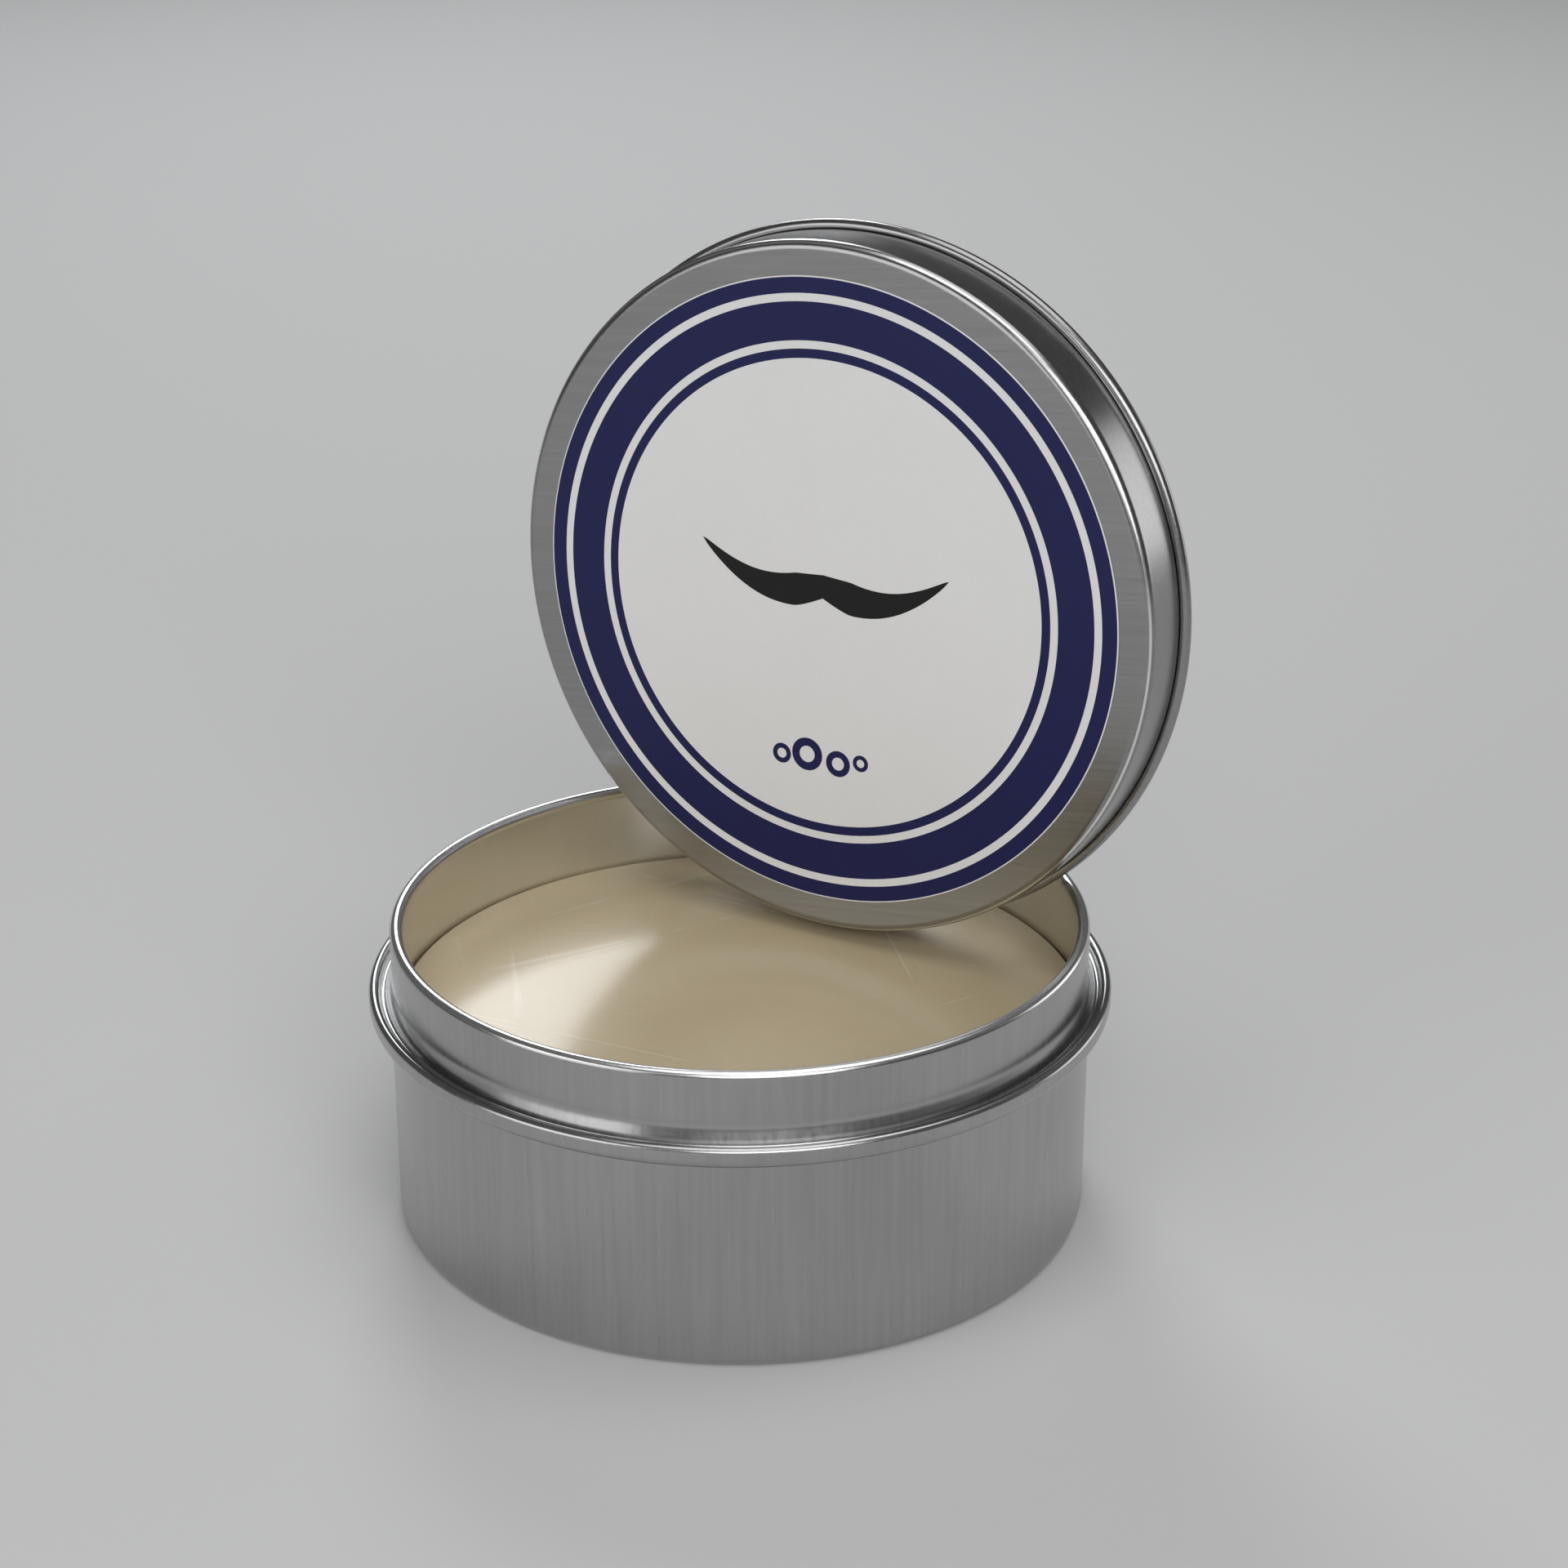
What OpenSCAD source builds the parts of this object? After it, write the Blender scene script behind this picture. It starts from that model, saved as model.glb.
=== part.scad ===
// Slip-lid aluminium tin of poured shaving soap, with its lid standing open in the soap.
// Origin: centre of the tin's base, on the surface it stands on. +Z is up, the label faces -Y.

/* [Tin] */
// Outer radius of the straight neck that the lid slides over
neck_r = 37.5; // [30:0.25:50]
// Height of the open tin, base to rim
tin_h = 33.4; // [27:0.2:60]
// How much wider the body wall below the bead is than the neck
body_step = 0.2; // [0:0.05:0.4]
// Thickness of the aluminium sheet of tin and lid
sheet = 0.4; // [0.25:0.05:0.5]
// Outer radius of the rounded corner between the base and the wall
base_corner = 1.3; // [0.8:0.1:3]

/* [Stop bead and lip] */
// Length of the neck, from the top of the stop bead to the rim
neck_h = 7; // [5:0.1:9]
// How far the bead stands out from the neck
bead_out = 2.5; // [2.3:0.1:3.2]
// Height of the bead's straight outer face
bead_face = 0.85; // [0.3:0.05:2]
// Outer radius of the bead's lower edge
bead_round = 0.9; // [0.7:0.05:1.2]
// Outer radius of the bead's upper edge
bead_edge = 0.55; // [0.52:0.01:0.7]
// Radius of the bend from the body wall out to the bead
flare_round = 0.8; // [0.5:0.05:1]
// Depth of the channel between bead and neck, below the top of the bead
channel_depth = 0.85; // [0.7:0.05:1]
// Radius of the bottom of the channel
channel_round = 0.45; // [0.35:0.05:0.5]
// Slope of the neck's foot above the channel, from the vertical
foot_slope = 18; // [12:1:25]
// Radius of the bend from the neck to its foot
foot_round = 2; // [1:0.1:3]
// Outer radius of the lip's section, where the rim is rolled inwards
lip_round = 0.7; // [0.55:0.05:1.2]

/* [Soap] */
// Headroom from the soap's face up to the rim
soap_headroom = 10.1; // [9.8:0.1:14]
// Gap left where the soap has shrunk away from the wall, at the neck's width
soap_shrink = 0.1; // [0.05:0.05:0.8]
// Rounding of the soap's top edge
soap_edge = 0.5; // [0.2:0.05:1]

/* [Lid] */
// Running gap between the neck and the inside of the skirt
slip_fit = 0.8; // [0.1:0.05:1]
// Depth of the lid, from its face to the end of its curl
lid_h = 8.4; // [6:0.1:14]
// Outer radius of the curl's section, where the skirt's edge is rolled outwards
curl_round = 0.7; // [0.55:0.05:1.2]
// Outer radius of the rounded edge between the lid's face and its skirt
lid_corner = 1; // [0.7:0.1:2]

/* [Label] */
// Width of the plain metal border between the label and the edge of the lid
label_border = 3.7; // [2:0.1:10]
// Thickness of the label
label_t = 0.15; // [0.1:0.05:0.3]

/* [Standing lid] */
// Lean of the lid, its top going back towards the rim behind it
lid_lean = 2; // [0:0.5:4]
// Gap between the lid's curl and the soap it stands over
lid_soap_gap = 0.2; // [0.15:0.05:1]
// Gap between the lid's curl and the lip behind it
lid_rim_gap = 0.35; // [0.3:0.05:1]

/* [Hidden] */
$fn = 128;

aluminium = [0.78, 0.78, 0.77];
soap_cream = [0.80, 0.72, 0.55];
label_white = [0.86, 0.86, 0.87];

// Turn of the lip and of the curl, each measured from the straight wall it is rolled from.
// The curl turns on until its cut edge is a hair from the skirt.
lip_turn = 250;
curl_gap = 0.05;
curl_turn = 180 + acos((curl_gap + sheet - curl_round) / curl_round);
// Largest turn between two points of a rounded outline
arc_step = 12;

// Outer radius of the body wall below the bead
body_r = neck_r + body_step;

// Stop bead: centres of its upper and lower edge, and of the bend that joins it to the body wall
bead_r = neck_r + bead_out;
bead_top = tin_h - neck_h;
edge_mid = [bead_r - bead_edge, bead_top - bead_edge];
bead_mid = [bead_r - bead_round, edge_mid.y - bead_face];
flare_mid = [body_r + flare_round,
             bead_mid.y - side_of(bead_round + flare_round, bead_mid.x - body_r - flare_round)];
flare_to_bead = bearing(flare_mid, bead_mid);

// Channel, and the bend of the neck's foot, whose slope touches both
channel_z = bead_top - channel_depth + channel_round;
channel_mid = [edge_mid.x - side_of(bead_edge + channel_round, channel_z - edge_mid.y), channel_z];
edge_to_channel = bearing(edge_mid, channel_mid);
foot_r = neck_r + foot_round;
foot_reach = foot_round - channel_round - (foot_r - channel_mid.x) * cos(foot_slope);
foot_mid = [foot_r, channel_z + foot_reach / sin(foot_slope)];

lip_mid = [neck_r - lip_round, tin_h - lip_round];

// Soap, cast in the cup
soap_r = neck_r - sheet - soap_shrink;
soap_top = tin_h - soap_headroom;
soap_corner = base_corner - sheet;

// Lid, slipping over the neck
skirt_r = neck_r + slip_fit + sheet;
curl_mid = [skirt_r - sheet + curl_round, lid_h - curl_round];
label_r = skirt_r - label_border;

// Standing lid: height of the curl's centre above the soap, then the middle of the lid's face
curl_z = soap_top + lid_soap_gap + curl_round + curl_mid.x * cos(lid_lean);
face_z = curl_z + curl_mid.y * sin(lid_lean);
face_y = curl_back() - curl_mid.y * cos(lid_lean);

// Second short side of a right triangle
function side_of(long_side, short_side) = sqrt(long_side * long_side - short_side * short_side);

// Direction from one point to another, in degrees
function bearing(from, to) = atan2(to.y - from.y, to.x - from.x);

// Points on an arc round c, from angle a0 to angle a1
function arc(c, r, a0, a1) =
    let (n = ceil(abs(a1 - a0) / arc_step))
    [for (i = [0:n]) let (a = a0 + (a1 - a0) * i / n) [c.x + r * cos(a), c.y + r * sin(a)]];

function backwards(points) = [for (i = [len(points) - 1:-1:0]) points[i]];

// How far behind the axis the curl's centre stands, so that its section clears the lip's by the gap.
// Where they pass each other, both rolls are taken as straight, each along its own direction.
function curl_back() =
    let (
        drop = (curl_z - lip_mid.y) / cos(lid_lean),
        half_w = side_of(curl_mid.x, drop),
        lip_y = side_of(lip_mid.x, half_w),
        curl_way = [drop, half_w * sin(lid_lean), half_w * cos(lid_lean)],
        lip_way = [-lip_y, half_w, 0],
        apart = cross(curl_way, lip_way),
        room = (lip_round + curl_round + lid_rim_gap) * norm(apart) / abs(apart.y)
    )
    lip_y - room + drop * sin(lid_lean);

// Outside of the cup, base centre to lip
function tin_outside() = concat(
    [[0, 0]],
    arc([body_r - base_corner, base_corner], base_corner, -90, 0),
    arc(flare_mid, flare_round, 180, flare_to_bead),
    arc(bead_mid, bead_round, flare_to_bead - 180, 0),
    arc(edge_mid, bead_edge, 0, edge_to_channel),
    arc(channel_mid, channel_round, edge_to_channel - 180, foot_slope - 180),
    arc(foot_mid, foot_round, foot_slope - 180, -180),
    arc(lip_mid, lip_round, 0, lip_turn)
);

// Inside of the cup. The bead's fold is pressed shut, so the wall is smooth from corner to lip
function tin_inside() = concat(
    [[0, sheet]],
    arc([body_r - base_corner, base_corner], base_corner - sheet, -90, 0),
    arc(lip_mid, lip_round - sheet, 0, lip_turn)
);

// One face of the lid's sheet, centre to curl, at a depth below its outer face
function lid_face(depth) = concat(
    [[0, depth]],
    arc([skirt_r - lid_corner, lid_corner], lid_corner - depth, -90, 0),
    arc(curl_mid, curl_round - sheet + depth, 180, 180 - curl_turn)
);

// Turned shape of a sheet between its outer and its inner face
module drawn_sheet(outer, inner) {
    rotate_extrude() polygon(concat(outer, backwards(inner)));
}

// Takes a shape from the lid's own axis, its face at z = 0, to where the lid stands
module stand_lid() {
    translate([0, face_y, face_z]) rotate([-90 - lid_lean, 0, 0]) children();
}

// Cup drawn from sheet: flat base, wall, stop bead, channel, neck and rolled lip
module tin_cup() {
    color(aluminium) drawn_sheet(tin_outside(), tin_inside());
}

// Soap poured into the cup, its top edge slightly rounded where it shrank from the wall
module soap_puck() {
    color(soap_cream) rotate_extrude() polygon(concat(
        [[0, sheet]],
        arc([soap_r - soap_corner, sheet + soap_corner], soap_corner, -90, 0),
        arc([soap_r - soap_edge, soap_top - soap_edge], soap_edge, 0, 90),
        [[0, soap_top]]
    ));
}

// Lid drawn from sheet: flat face, rounded edge, straight skirt and outward curl
module lid_shell() {
    color(aluminium) stand_lid() drawn_sheet(lid_face(0), lid_face(sheet));
}

// Round label stuck to the lid's face
module lid_label() {
    color(label_white) stand_lid() translate([0, 0, -label_t]) cylinder(r = label_r, h = label_t);
}

tin_cup();
soap_puck();
lid_shell();
lid_label();
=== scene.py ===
# Slip-lid aluminium tin of poured shaving soap, with its lid standing open on the soap.
# Metres, in the part's own frame: origin under the tin, +Z up, the label facing -Y.
import math

import bmesh
import bpy
from mathutils import Matrix, Vector


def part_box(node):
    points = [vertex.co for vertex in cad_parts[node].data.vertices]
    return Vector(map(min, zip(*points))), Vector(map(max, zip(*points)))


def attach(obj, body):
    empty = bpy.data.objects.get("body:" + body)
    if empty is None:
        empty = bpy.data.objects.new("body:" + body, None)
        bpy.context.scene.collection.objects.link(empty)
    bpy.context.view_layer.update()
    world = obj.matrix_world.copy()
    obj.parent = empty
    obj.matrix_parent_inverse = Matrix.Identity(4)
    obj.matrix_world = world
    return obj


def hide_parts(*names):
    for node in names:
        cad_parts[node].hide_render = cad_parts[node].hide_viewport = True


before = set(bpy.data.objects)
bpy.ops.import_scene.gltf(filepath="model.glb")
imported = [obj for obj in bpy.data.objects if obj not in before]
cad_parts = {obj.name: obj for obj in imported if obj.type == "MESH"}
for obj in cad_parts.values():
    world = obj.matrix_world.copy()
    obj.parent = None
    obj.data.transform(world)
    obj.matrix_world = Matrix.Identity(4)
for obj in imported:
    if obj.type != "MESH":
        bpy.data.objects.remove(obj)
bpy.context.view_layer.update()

# ---- Camera -------------------------------------------------------------------------------
# A long lens from the front right, looking down over the rim on to the soap. The target is a
# point inside the object, and the camera stands back from it along one line.
MM = 0.001
view_azimuth = math.radians(30)
view_elevation = math.radians(22.97)
view_distance = 345.2 * MM
view_target = Vector((4.08, 2.36, 48.06)) * MM

camera = bpy.data.objects.new("camera", bpy.data.cameras.new("camera"))
bpy.context.scene.collection.objects.link(camera)
camera.data.lens = 75
camera.data.sensor_width = 36
camera.data.clip_start = 0.01
outwards = Vector((
    math.sin(view_azimuth) * math.cos(view_elevation),
    -math.cos(view_azimuth) * math.cos(view_elevation),
    math.sin(view_elevation),
))
camera.location = view_target + outwards * view_distance
camera.rotation_euler = (-outwards).to_track_quat("-Z", "Y").to_euler()
bpy.context.scene.camera = camera

# ---- Tin ----------------------------------------------------------------------------------
# The cup is drawn from one disc of 0.4 mm aluminium: a flat base, a straight wall, a bead pressed
# shut that stops the lid, a straight neck above it, and a lip rolled inwards over its cut edge.
sheet = 0.4 * MM
tin_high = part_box("tin_cup")[1]
rim_z = tin_high.z
bead_r = tin_high.x
bead_out = 2.5 * MM
neck_r = bead_r - bead_out
body_step = 0.2 * MM
body_r = neck_r + body_step
neck_h = 7.0 * MM
base_corner = 1.3 * MM
lip_round = 0.7 * MM
lip_turn = 250
bead_face = 0.85 * MM
bead_round = 0.9 * MM
bead_edge = 0.55 * MM
flare_round = 0.8 * MM
channel_depth = 0.85 * MM
channel_round = 0.45 * MM
foot_slope = 18
foot_round = 2.0 * MM


arc_step = 6


def arc(mid, radius, start, end):
    """Points round mid, from one angle to the other in degrees, one every few degrees."""
    steps = math.ceil(abs(end - start) / arc_step)
    turns = [math.radians(start + (end - start) * i / steps) for i in range(steps + 1)]
    return [(mid[0] + radius * math.cos(t), mid[1] + radius * math.sin(t)) for t in turns]


def bearing(start, end):
    """Direction from one point to another, in degrees."""
    return math.degrees(math.atan2(end[1] - start[1], end[0] - start[0]))


def side_of(long_side, short_side):
    """Second short side of a right triangle."""
    return math.sqrt(long_side ** 2 - short_side ** 2)


def held_flat(points, margin=0.25 * MM):
    """Adds a point near both ends of every long straight stretch, so that it shades flat."""
    held = [points[0]]
    for a, b in zip(points, points[1:]):
        length = math.dist(a, b)
        if length > 4 * margin:
            for share in (margin / length, 1 - margin / length):
                held.append(tuple(a[k] + (b[k] - a[k]) * share for k in (0, 1)))
        held.append(b)
    return held


bead_top = rim_z - neck_h
edge_mid = (bead_r - bead_edge, bead_top - bead_edge)
bead_mid = (bead_r - bead_round, edge_mid[1] - bead_face)
flare_drop = side_of(bead_round + flare_round, bead_mid[0] - body_r - flare_round)
flare_mid = (body_r + flare_round, bead_mid[1] - flare_drop)
flare_to_bead = bearing(flare_mid, bead_mid)
channel_z = bead_top - channel_depth + channel_round
channel_reach = side_of(bead_edge + channel_round, channel_z - edge_mid[1])
channel_mid = (edge_mid[0] - channel_reach, channel_z)
edge_to_channel = bearing(edge_mid, channel_mid)
slope = math.radians(foot_slope)
foot_r = neck_r + foot_round
foot_reach = foot_round - channel_round - (foot_r - channel_mid[0]) * math.cos(slope)
foot_mid = (foot_r, channel_z + foot_reach / math.sin(slope))


tin_outside = (
    [(0, 0)]
    + arc((body_r - base_corner, base_corner), base_corner, -90, 0)
    + arc(flare_mid, flare_round, 180, flare_to_bead)
    + arc(bead_mid, bead_round, flare_to_bead - 180, 0)
    + arc(edge_mid, bead_edge, 0, edge_to_channel)
    + arc(channel_mid, channel_round, edge_to_channel - 180, foot_slope - 180)
    + arc(foot_mid, foot_round, foot_slope - 180, -180)
    + arc((neck_r - lip_round, rim_z - lip_round), lip_round, 0, lip_turn)
)
tin_inside = (
    [(0, sheet)]
    + arc((body_r - base_corner, base_corner), base_corner - sheet, -90, 0)
    + arc((neck_r - lip_round, rim_z - lip_round), lip_round - sheet, 0, lip_turn)
)


def link(tree, source, target):
    tree.links.new(source, target)


facets_round = 192
lathe_arm = 10 * MM
weld = 0.0001 * MM


def lathe_tree():
    """Geometry Nodes that turn an outline, drawn as radius and height, into a closed skin."""
    tree = bpy.data.node_groups.new("turned_on_axis", "GeometryNodeTree")
    tree.interface.new_socket("Outline", in_out="INPUT", socket_type="NodeSocketGeometry")
    facets = tree.interface.new_socket("Facets", in_out="INPUT", socket_type="NodeSocketInt")
    arm = tree.interface.new_socket("Arm", in_out="INPUT", socket_type="NodeSocketFloat")
    metal = tree.interface.new_socket("Finish", in_out="INPUT", socket_type="NodeSocketMaterial")
    tree.interface.new_socket("Piece", in_out="OUTPUT", socket_type="NodeSocketGeometry")
    new = tree.nodes.new
    given, made = new("NodeGroupInput"), new("NodeGroupOutput")
    minus_arm = new("ShaderNodeMath")
    minus_arm.operation = "MULTIPLY"
    minus_arm.inputs[1].default_value = -1
    shift = new("ShaderNodeCombineXYZ")
    lay = new("GeometryNodeTransform")
    lay.inputs["Scale"].default_value = (1, -1, 1)
    outline = new("GeometryNodeMeshToCurve")
    circle = new("GeometryNodeCurvePrimitiveCircle")
    sweep = new("GeometryNodeCurveToMesh")
    merge = new("GeometryNodeMergeByDistance")
    merge.inputs["Distance"].default_value = weld
    smooth = new("GeometryNodeSetShadeSmooth")
    own = new("GeometryNodeStoreNamedAttribute")
    own.data_type, own.domain = "FLOAT_VECTOR", "POINT"
    own.inputs["Name"].default_value = "own_place"
    place = new("GeometryNodeInputPosition")
    realize, finish = new("GeometryNodeRealizeInstances"), new("GeometryNodeSetMaterial")
    link(tree, given.outputs["Arm"], minus_arm.inputs[0])
    link(tree, minus_arm.outputs[0], shift.inputs["X"])
    link(tree, given.outputs["Outline"], lay.inputs["Geometry"])
    link(tree, shift.outputs[0], lay.inputs["Translation"])
    link(tree, lay.outputs[0], outline.inputs["Mesh"])
    link(tree, given.outputs["Facets"], circle.inputs["Resolution"])
    link(tree, given.outputs["Arm"], circle.inputs["Radius"])
    link(tree, circle.outputs[0], sweep.inputs["Curve"])
    link(tree, outline.outputs[0], sweep.inputs["Profile Curve"])
    link(tree, sweep.outputs[0], merge.inputs["Geometry"])
    link(tree, merge.outputs[0], smooth.inputs["Geometry"])
    link(tree, smooth.outputs[0], own.inputs["Geometry"])
    link(tree, place.outputs[0], own.inputs["Value"])
    link(tree, own.outputs[0], realize.inputs["Geometry"])
    link(tree, realize.outputs[0], finish.inputs["Geometry"])
    link(tree, given.outputs["Finish"], finish.inputs["Material"])
    link(tree, finish.outputs[0], made.inputs["Piece"])
    return tree, {"Facets": facets.identifier, "Arm": arm.identifier, "Finish": metal.identifier}


turned_tree, turned_sockets = lathe_tree()


def mesh_of(piece):
    """The piece's finished shape as a plain mesh, in place of its modifiers."""
    state = bpy.context.evaluated_depsgraph_get()
    plain = bpy.data.meshes.new_from_object(piece.evaluated_get(state), depsgraph=state)
    piece.modifiers.clear()
    piece.data = plain
    plain.name = piece.name
    return plain


def turned(name, outline, material, place=Matrix.Identity(4)):
    """A piece turned from an outline round its own axis, then brought to its place."""
    drawing = bpy.data.meshes.new(name + "_outline")
    edges = [(i, i + 1) for i in range(len(outline) - 1)]
    drawing.from_pydata([(r, z, 0) for r, z in outline], edges, [])
    piece = bpy.data.objects.new(name, drawing)
    bpy.context.scene.collection.objects.link(piece)
    lathe = piece.modifiers.new("lathe", "NODES")
    lathe.node_group = turned_tree
    lathe[turned_sockets["Facets"]] = facets_round
    lathe[turned_sockets["Arm"]] = lathe_arm
    lathe[turned_sockets["Finish"]] = material
    skin = mesh_of(piece)
    shell = bmesh.new()
    shell.from_mesh(skin)
    bmesh.ops.recalc_face_normals(shell, faces=shell.faces)
    shell.to_mesh(skin)
    shell.free()
    skin.transform(place)
    return piece


def group_tree(name, inputs, outputs):
    """An empty shader group with named sockets, and its input and output nodes."""
    tree = bpy.data.node_groups.new(name, "ShaderNodeTree")
    for label, kind in inputs:
        tree.interface.new_socket(label, in_out="INPUT", socket_type="NodeSocket" + kind)
    for label, kind in outputs:
        tree.interface.new_socket(label, in_out="OUTPUT", socket_type="NodeSocket" + kind)
    return tree, tree.nodes.new("NodeGroupInput"), tree.nodes.new("NodeGroupOutput")


def noise(tree, place, scale, detail=2.0, rough=0.5):
    node = tree.nodes.new("ShaderNodeTexNoise")
    node.inputs["Scale"].default_value = scale
    node.inputs["Detail"].default_value = detail
    node.inputs["Roughness"].default_value = rough
    link(tree, place, node.inputs["Vector"])
    return node.outputs["Fac"]


def stretched(tree, place, scale, turn=0):
    """Coordinates turned about the axis and then stretched, so that a pattern runs one way."""
    around = tree.nodes.new("ShaderNodeVectorRotate")
    around.rotation_type = "Z_AXIS"
    around.inputs["Angle"].default_value = turn
    link(tree, place, around.inputs["Vector"])
    node = tree.nodes.new("ShaderNodeMapping")
    node.inputs["Scale"].default_value = scale
    link(tree, around.outputs["Vector"], node.inputs["Vector"])
    return node.outputs["Vector"]


def between(tree, value, low, high, to_low, to_high):
    """Maps a range of values to another, held at both ends."""
    node = tree.nodes.new("ShaderNodeMapRange")
    ends = {"From Min": low, "From Max": high, "To Min": to_low, "To Max": to_high}
    for key, number in ends.items():
        node.inputs[key].default_value = number
    link(tree, value, node.inputs["Value"])
    return node.outputs["Result"]


def maths(tree, operation, a, b):
    """One sum on two values, each a number or taken from another node."""
    node = tree.nodes.new("ShaderNodeMath")
    node.operation = operation
    for socket, value in zip(node.inputs, (a, b)):
        if isinstance(value, (int, float)):
            socket.default_value = value
        else:
            link(tree, value, socket)
    return node.outputs[0]


def weighed(tree, first, first_part, second, second_part):
    """Two patterns added together, each times its part."""
    return maths(tree, "ADD", maths(tree, "MULTIPLY", first, first_part),
                 maths(tree, "MULTIPLY", second, second_part))


def rolled_metal_group():
    """Marks of rolled and drawn sheet: fine lines along the stretched way, and soft clouds."""
    tree, given, made = group_tree(
        "rolled_metal",
        [("Place", "Vector"), ("Lines", "Float"), ("Clouds", "Float")],
        [("Mark", "Float"), ("Height", "Float")],
    )
    fine = noise(tree, given.outputs["Place"], 2000, 3.0, 0.6)
    broad = noise(tree, given.outputs["Place"], 420, 2.0)
    clouds = noise(tree, given.outputs["Place"], 34, 3.0)
    lines = weighed(tree, fine, 0.8, broad, 0.2)
    lines = maths(tree, "MULTIPLY", maths(tree, "SUBTRACT", lines, 0.5), given.outputs["Lines"])
    soft = maths(tree, "MULTIPLY", maths(tree, "SUBTRACT", clouds, 0.5), given.outputs["Clouds"])
    both = maths(tree, "ADD", lines, soft)
    link(tree, maths(tree, "ADD", both, 0.5), made.inputs["Mark"])
    link(tree, lines, made.inputs["Height"])
    return tree


rolled_metal = rolled_metal_group()


def own_place(tree):
    """The piece's own coordinates, with its axis up, as stored when it was turned."""
    node = tree.nodes.new("ShaderNodeAttribute")
    node.attribute_name = "own_place"
    return node.outputs["Vector"]


def plain_material(name):
    """A new node material with only its Principled shader, and that shader."""
    material = bpy.data.materials.new(name)
    material.use_nodes = True
    return material, material.node_tree.nodes["Principled BSDF"]


def mixed(tree, share, dark, light):
    """A colour between two, each given or taken from another node, by a share from 0 to 1."""
    node = tree.nodes.new("ShaderNodeMix")
    node.data_type = "RGBA"
    for socket, colour in ((node.inputs["A"], dark), (node.inputs["B"], light)):
        if isinstance(colour, tuple):
            socket.default_value = (*colour, 1)
        else:
            link(tree, colour, socket)
    link(tree, share, node.inputs["Factor"])
    return node.outputs["Result"]


def bumped(tree, shader, height, distance):
    """Relief of a given depth on the material's normal."""
    node = tree.nodes.new("ShaderNodeBump")
    node.inputs["Strength"].default_value = 1.0
    node.inputs["Distance"].default_value = distance
    link(tree, height, node.inputs["Height"])
    link(tree, node.outputs["Normal"], shader.inputs["Normal"])


def inner_face(tree, place, wall_r):
    """1 on the inside of a cup or lid, within its wall and above its base, and 0 outside."""
    flat = tree.nodes.new("ShaderNodeVectorMath")
    flat.operation = "MULTIPLY"
    flat.inputs[1].default_value = (1, 1, 0)
    link(tree, place, flat.inputs[0])
    reach = tree.nodes.new("ShaderNodeVectorMath")
    reach.operation = "LENGTH"
    link(tree, flat.outputs["Vector"], reach.inputs[0])
    parts = tree.nodes.new("ShaderNodeSeparateXYZ")
    link(tree, place, parts.inputs[0])
    within = maths(tree, "LESS_THAN", reach.outputs["Value"], wall_r)
    above = maths(tree, "GREATER_THAN", parts.outputs["Z"], sheet / 2)
    return maths(tree, "MULTIPLY", within, above)


tone_swing = 0.09
line_share, cloud_share = 0.85, 0.35
metal_relief = 0.006 * MM


def sheet_metal(name, scale, turn, wall_r, tone):
    """Satin aluminium, its lines running the way that scale stretches; its inside gets a far
    paler colour as painted light.
    """
    material, shader = plain_material(name)
    tree = material.node_tree
    place = own_place(tree)
    marks = tree.nodes.new("ShaderNodeGroup")
    marks.node_tree = rolled_metal
    marks.inputs["Lines"].default_value = line_share
    marks.inputs["Clouds"].default_value = cloud_share
    link(tree, stretched(tree, place, scale, turn), marks.inputs["Place"])
    mark = marks.outputs["Mark"]
    outside = mixed(tree, mark, (tone - tone_swing,) * 3, (tone + tone_swing,) * 3)
    # Painted light: the inside of the cup and lid gets a far paler colour than the outside of the
    # same metal, standing in for light that falls on the inner walls.
    inside = mixed(tree, mark, (0.78, 0.78, 0.77), (0.86, 0.86, 0.85))
    painted_light_inside = inner_face(tree, place, wall_r)
    link(tree, mixed(tree, painted_light_inside, outside, inside), shader.inputs["Base Color"])
    link(tree, between(tree, mark, 0, 1, 0.17, 0.30), shader.inputs["Roughness"])
    shader.inputs["Metallic"].default_value = 1.0
    bumped(tree, shader, marks.outputs["Height"], metal_relief)
    return material


drawn_lines = (1, 1, 0.03)
tin_metal = sheet_metal("drawn_aluminium", drawn_lines, 0, neck_r - sheet / 4, 0.43)
tin = turned("tin", held_flat(tin_outside + tin_inside[::-1]), tin_metal)
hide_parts("tin_cup")
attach(tin, "tin")

# ---- Soap ---------------------------------------------------------------------------------
# Hard cream soap, poured hot into the cup and left to set. It has shrunk a hair from the wall and
# its edge is slightly rounded. Its face is glossy and faintly uneven, with a few fine scratches.
soap_low, soap_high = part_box("soap_puck")
soap_r = soap_high.x
soap_corner = base_corner - sheet
soap_edge = 0.5 * MM
soap_outline = (
    [(0, soap_low.z)]
    + arc((soap_r - soap_corner, soap_low.z + soap_corner), soap_corner, -90, 0)
    + arc((soap_r - soap_edge, soap_high.z - soap_edge), soap_edge, 0, 90)
    + [(0, soap_high.z)]
)


scratch_ways = ((0.5, 42), (-0.7, 31), (1.5, 36))
scratch_narrow = 0.012
soap_relief = 0.02 * MM


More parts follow.
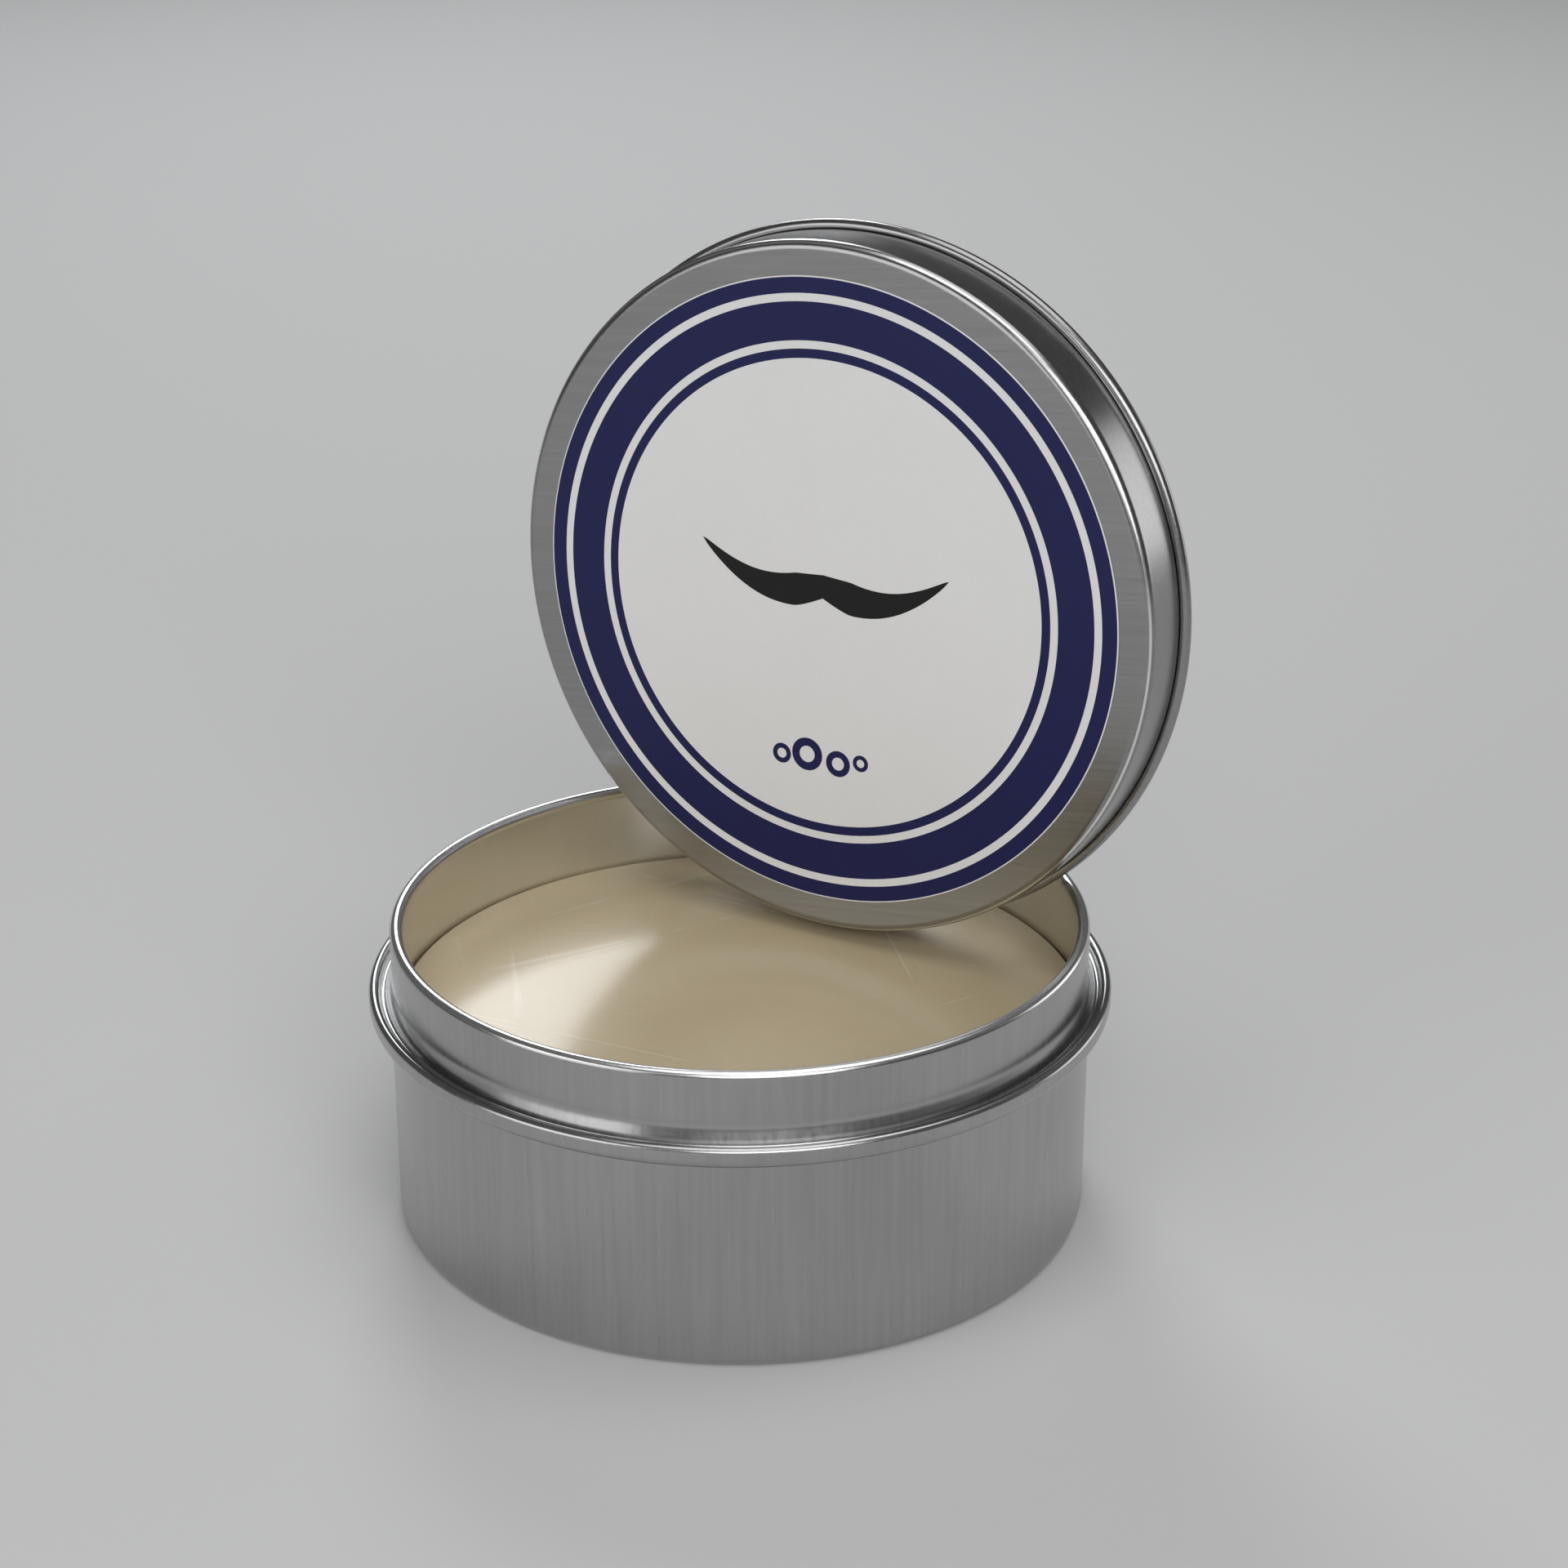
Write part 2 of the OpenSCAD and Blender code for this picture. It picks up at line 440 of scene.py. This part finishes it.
def scratches_group():
    """Fine, short, straight scratches that cross each other, as a height."""
    tree, given, made = group_tree("fine_scratches", [("Place", "Vector")], [("Height", "Float")])
    total = None
    for turn, scale in scratch_ways:
        across = stretched(tree, given.outputs["Place"], (scale, scale * scratch_narrow, 1), turn)
        cell = tree.nodes.new("ShaderNodeTexVoronoi")
        cell.feature = "DISTANCE_TO_EDGE"
        cell.inputs["Scale"].default_value = 5
        link(tree, across, cell.inputs["Vector"])
        groove = between(tree, cell.outputs["Distance"], 0, 0.014, 1, 0)
        patchy = between(tree, noise(tree, across, 3.1), 0.48, 0.58, 0, 1)
        short = between(tree, noise(tree, given.outputs["Place"], 38 + scale), 0.47, 0.55, 0, 1)
        line = maths(tree, "MULTIPLY", maths(tree, "MULTIPLY", groove, patchy), short)
        total = line if total is None else maths(tree, "ADD", total, line)
    link(tree, total, made.inputs["Height"])
    return tree


def soap_material():
    """Cream soap: clouded and grained, scraped paler along its scratches, under a soft gloss."""
    material, shader = plain_material("cream_soap")
    tree = material.node_tree
    place = own_place(tree)
    clouds = noise(tree, place, 60, 4.0)
    grain = noise(tree, place, 1400, 2.0)
    blend = weighed(tree, clouds, 0.75, grain, 0.25)
    link(tree, between(tree, clouds, 0.3, 0.7, 0.38, 0.5), shader.inputs["Roughness"])
    shader.inputs["Subsurface Weight"].default_value = 0.12
    shader.inputs["Subsurface Scale"].default_value = 1.5 * MM
    shader.inputs["Specular IOR Level"].default_value = 0.3
    shader.inputs["Coat Weight"].default_value = 0.65
    shader.inputs["Coat Roughness"].default_value = 0.17
    scratch = tree.nodes.new("ShaderNodeGroup")
    scratch.node_tree = scratches_group()
    link(tree, place, scratch.inputs["Place"])
    cream = mixed(tree, blend, (0.55, 0.45, 0.28), (0.66, 0.55, 0.36))
    scraped = maths(tree, "MULTIPLY", scratch.outputs["Height"], 0.34)
    link(tree, mixed(tree, scraped, cream, (0.90, 0.86, 0.76)), shader.inputs["Base Color"])
    pitted = maths(tree, "ADD", maths(tree, "MULTIPLY", grain, 0.6), noise(tree, place, 420, 2.0))
    uneven = weighed(tree, pitted, 0.6, clouds, 2.0)
    height = maths(tree, "SUBTRACT", uneven, scratch.outputs["Height"])
    bumped(tree, shader, height, soap_relief)
    return material


soap = turned("soap", held_flat(soap_outline), soap_material())
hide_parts("soap_puck")
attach(soap, "tin")

# ---- Lid ----------------------------------------------------------------------------------
# The lid is drawn from the same sheet: a flat face, a rounded edge, a straight skirt and an
# outward curl. It stands on edge on the soap, leaning back a little towards the lip.
lid_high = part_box("lid_shell")[1]
label_low, label_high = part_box("lid_label")
lid_lean = math.radians(2)
label_t = 0.15 * MM
label_r = label_high.x
curl_r = lid_high.x
curl_round = 0.7 * MM
curl_gap = 0.05 * MM
curl_turn = 180 + math.degrees(math.acos((curl_gap + sheet - curl_round) / curl_round))
lid_corner = 1.0 * MM
lid_h = 8.4 * MM
skirt_r = curl_r - 2 * curl_round + sheet
curl_mid = (curl_r - curl_round, lid_h - curl_round)

lid_outwards = Vector((0, -math.cos(lid_lean), math.sin(lid_lean)))
face_middle = (label_low + label_high) / 2 - lid_outwards * label_t / 2
stand_lid = Matrix.Translation(face_middle) @ Matrix.Rotation(-math.pi / 2 - lid_lean, 4, "X")


def lid_face(depth):
    """One face of the lid's sheet, from its middle to its curl, at a depth below its outside."""
    return (
        [(0, depth)]
        + arc((skirt_r - lid_corner, lid_corner), lid_corner - depth, -90, 0)
        + arc(curl_mid, curl_round - sheet + depth, 180, 180 - curl_turn)
    )


rolled_lines = (0.03, 1, 1)
rolling_turn = math.radians(7)
# Painted shade: the lid's tone of 0.33, below the tin's 0.43, darkens the same sheet metal to
# stand in for the darker surroundings that its face reflects.
lid_metal = sheet_metal("rolled_aluminium", rolled_lines, rolling_turn, skirt_r - sheet / 2, 0.33)
lid = turned("lid", held_flat(lid_face(0) + lid_face(sheet)[::-1]), lid_metal, stand_lid)
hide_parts("lid_shell")
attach(lid, "lid")

# ---- Label --------------------------------------------------------------------------------
# A round coated-paper label stuck to the lid's face, printed with navy rings round a white
# middle. Its cut edge shows as a thin white line.
ring_shares = (0.749, 0.778, 0.803, 0.922, 0.947)
label_trim = 0.14 * MM
label_edge = 0.04 * MM
paper_relief = 0.003 * MM
navy_rings = (1, 3, 5)


def printed_paper(name, dark, light, roughness):
    """Coated paper or ink on it, with the paper's faint fibres."""
    material, shader = plain_material(name)
    tree = material.node_tree
    place = own_place(tree)
    fibres = noise(tree, stretched(tree, place, (1, 0.4, 1)), 1500, 4.0, 0.6)
    clouds = noise(tree, place, 90, 2.0)
    shade = weighed(tree, fibres, 0.5, clouds, 0.5)
    link(tree, mixed(tree, shade, dark, light), shader.inputs["Base Color"])
    link(tree, between(tree, fibres, 0.3, 0.7, roughness - 0.04, roughness + 0.04),
         shader.inputs["Roughness"])
    shader.inputs["Specular IOR Level"].default_value = 0.25
    bumped(tree, shader, fibres, paper_relief)
    return material


label_white = printed_paper("label_white", (0.73, 0.73, 0.73), (0.79, 0.79, 0.79), 0.5)
label_navy = printed_paper("label_navy", (0.007, 0.009, 0.066), (0.012, 0.014, 0.082), 0.45)
label_black = printed_paper("label_black", (0.006, 0.006, 0.006), (0.010, 0.010, 0.010), 0.42)

ring_radii = [label_r * share for share in ring_shares] + [label_r - label_trim]
label_outline = (
    [(0, 0), (label_r, 0)]
    + arc((label_r - label_edge, -label_t + label_edge), label_edge, 0, -90)
    + [(r, -label_t) for r in reversed(ring_radii)]
    + [(0, -label_t)]
)
label = turned("label", label_outline, label_white, stand_lid)
label.data.materials.append(label_navy)
to_own = stand_lid.inverted()
for face in label.data.polygons:
    middle = to_own @ face.center
    rings_crossed = sum(middle.xy.length > r for r in ring_radii)
    on_front = middle.z < -label_t + label_edge / 9
    face.material_index = 1 if on_front and rings_crossed in navy_rings else 0
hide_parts("lid_label")
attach(label, "lid")

# ---- Marks printed on the label -----------------------------------------------------------
# A moustache in black across the middle and a few lather bubbles in navy below it. They are
# plain signs without words. The ink is a film that stands a hair above the paper.
ink_t = 0.012 * MM
ink_weld = 0.0005 * MM


def printed_mark(name, outlines, material):
    """Closed outlines in millimetres, filled and raised by the ink's thickness, on the label."""
    drawing = bpy.data.curves.new(name, "CURVE")
    drawing.dimensions = "2D"
    drawing.fill_mode = "BOTH"
    drawing.extrude = ink_t / 2
    for outline in outlines:
        spline = drawing.splines.new("POLY")
        spline.points.add(len(outline) - 1)
        for point, (x, y) in zip(spline.points, outline):
            point.co = (x * MM, -y * MM, -label_t - ink_t / 2, 1)
        spline.use_cyclic_u = True
    drawn = bpy.data.objects.new(name + "_drawing", drawing)
    bpy.context.scene.collection.objects.link(drawn)
    state = bpy.context.evaluated_depsgraph_get()
    film = bpy.data.meshes.new_from_object(drawn.evaluated_get(state), depsgraph=state)
    bpy.data.objects.remove(drawn)
    shell = bmesh.new()
    shell.from_mesh(film)
    bmesh.ops.remove_doubles(shell, verts=shell.verts, dist=ink_weld)
    bmesh.ops.recalc_face_normals(shell, faces=shell.faces)
    shell.to_mesh(film)
    shell.free()
    places = film.attributes.new("own_place", "FLOAT_VECTOR", "POINT")
    places.data.foreach_set("vector", [c for v in film.vertices for c in v.co])
    film.transform(stand_lid)
    film.materials.clear()
    film.materials.append(material)
    mark = bpy.data.objects.new(name, film)
    bpy.context.scene.collection.objects.link(mark)
    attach(mark, "lid")


half_width, middle_y, edge_steps = 15.2, 1.4, 30


def moustache_edge(side):
    """Upper (side 1) or lower (side -1) edge of the moustache, from left tip to right tip."""
    edge = []
    for i in range(-edge_steps, edge_steps + 1):
        out = abs(i) / edge_steps
        middle = 3.2 * out ** 3 - 0.2 - 1.4 * math.sin(math.pi * out) * (1 - 0.3 * out)
        half_height = 2.2 * (1 - out) ** 0.65 * (0.6 + 0.4 * min(1, out / 0.22))
        edge.append((half_width * i / edge_steps, middle_y + middle + side * half_height))
    return edge


printed_mark("moustache_mark", [moustache_edge(1) + moustache_edge(-1)[-2:0:-1]], label_black)

bubble_places = ((-4.7, -18.9, 1.15), (-1.5, -18.4, 1.9), (2.4, -18.8, 1.5), (5.2, -18.2, 0.95))
hole_share = 0.5
bubbles = []
for bubble_x, bubble_y, radius in bubble_places:
    for ring_r in (radius, radius * hole_share):
        bubbles.append(arc((bubble_x, bubble_y), ring_r, 0, 360 - arc_step))
printed_mark("bubble_mark", bubbles, label_navy)

# ---- Floor and light ----------------------------------------------------------------------
# A plain pale floor under five soft studio panels: one overhead, two in front and two behind.
# The panels are flat lamps that face the object, and a dim grey room fills the shadows.
floor_mesh = bpy.data.meshes.new("floor")
reach = 4.0
floor_corners = [(-reach, -reach, 0), (reach, -reach, 0), (reach, reach, 0), (-reach, reach, 0)]
floor_mesh.from_pydata(floor_corners, [], [(0, 1, 2, 3)])
floor = bpy.data.objects.new("floor", floor_mesh)
bpy.context.scene.collection.objects.link(floor)
floor_paint, floor_shader = plain_material("pale_floor")
floor_shader.inputs["Base Color"].default_value = (0.62, 0.62, 0.62, 1)
floor_shader.inputs["Roughness"].default_value = 0.8
floor_mesh.materials.append(floor_paint)

world = bpy.data.worlds.new("studio")
bpy.context.scene.world = world
world.use_nodes = True
world.node_tree.nodes["Background"].inputs["Color"].default_value = (0.10, 0.10, 0.10, 1)


panels_face = Vector((0, 0, 0.05))


def panel(name, place, width, height, radiance, colour=(1, 1, 1)):
    """A soft panel of a given brightness that faces the object."""
    lamp = bpy.data.lights.new(name, "AREA")
    lamp.shape = "RECTANGLE"
    lamp.size, lamp.size_y = width, height
    lamp.energy = radiance * math.pi * width * height
    lamp.color = colour
    holder = bpy.data.objects.new(name, lamp)
    bpy.context.scene.collection.objects.link(holder)
    holder.location = place
    holder.rotation_euler = (Vector(place) - panels_face).to_track_quat("Z", "Y").to_euler()


panel("overhead", (0.15, 0.0, 1.20), 1.2, 0.9, 1.7)
panel("key", (0.70, -0.80, 0.62), 0.9, 0.7, 3.0)
panel("front", (-0.45, -1.05, 0.40), 1.0, 0.7, 1.7)
panel("back_left", (-0.50, 0.62, 0.60), 0.28, 0.44, 5.6, (0.96, 0.98, 1.0))
panel("back_right", (0.50, 0.72, 0.16), 0.50, 0.32, 1.5)

bpy.context.scene.view_settings.view_transform = "Standard"
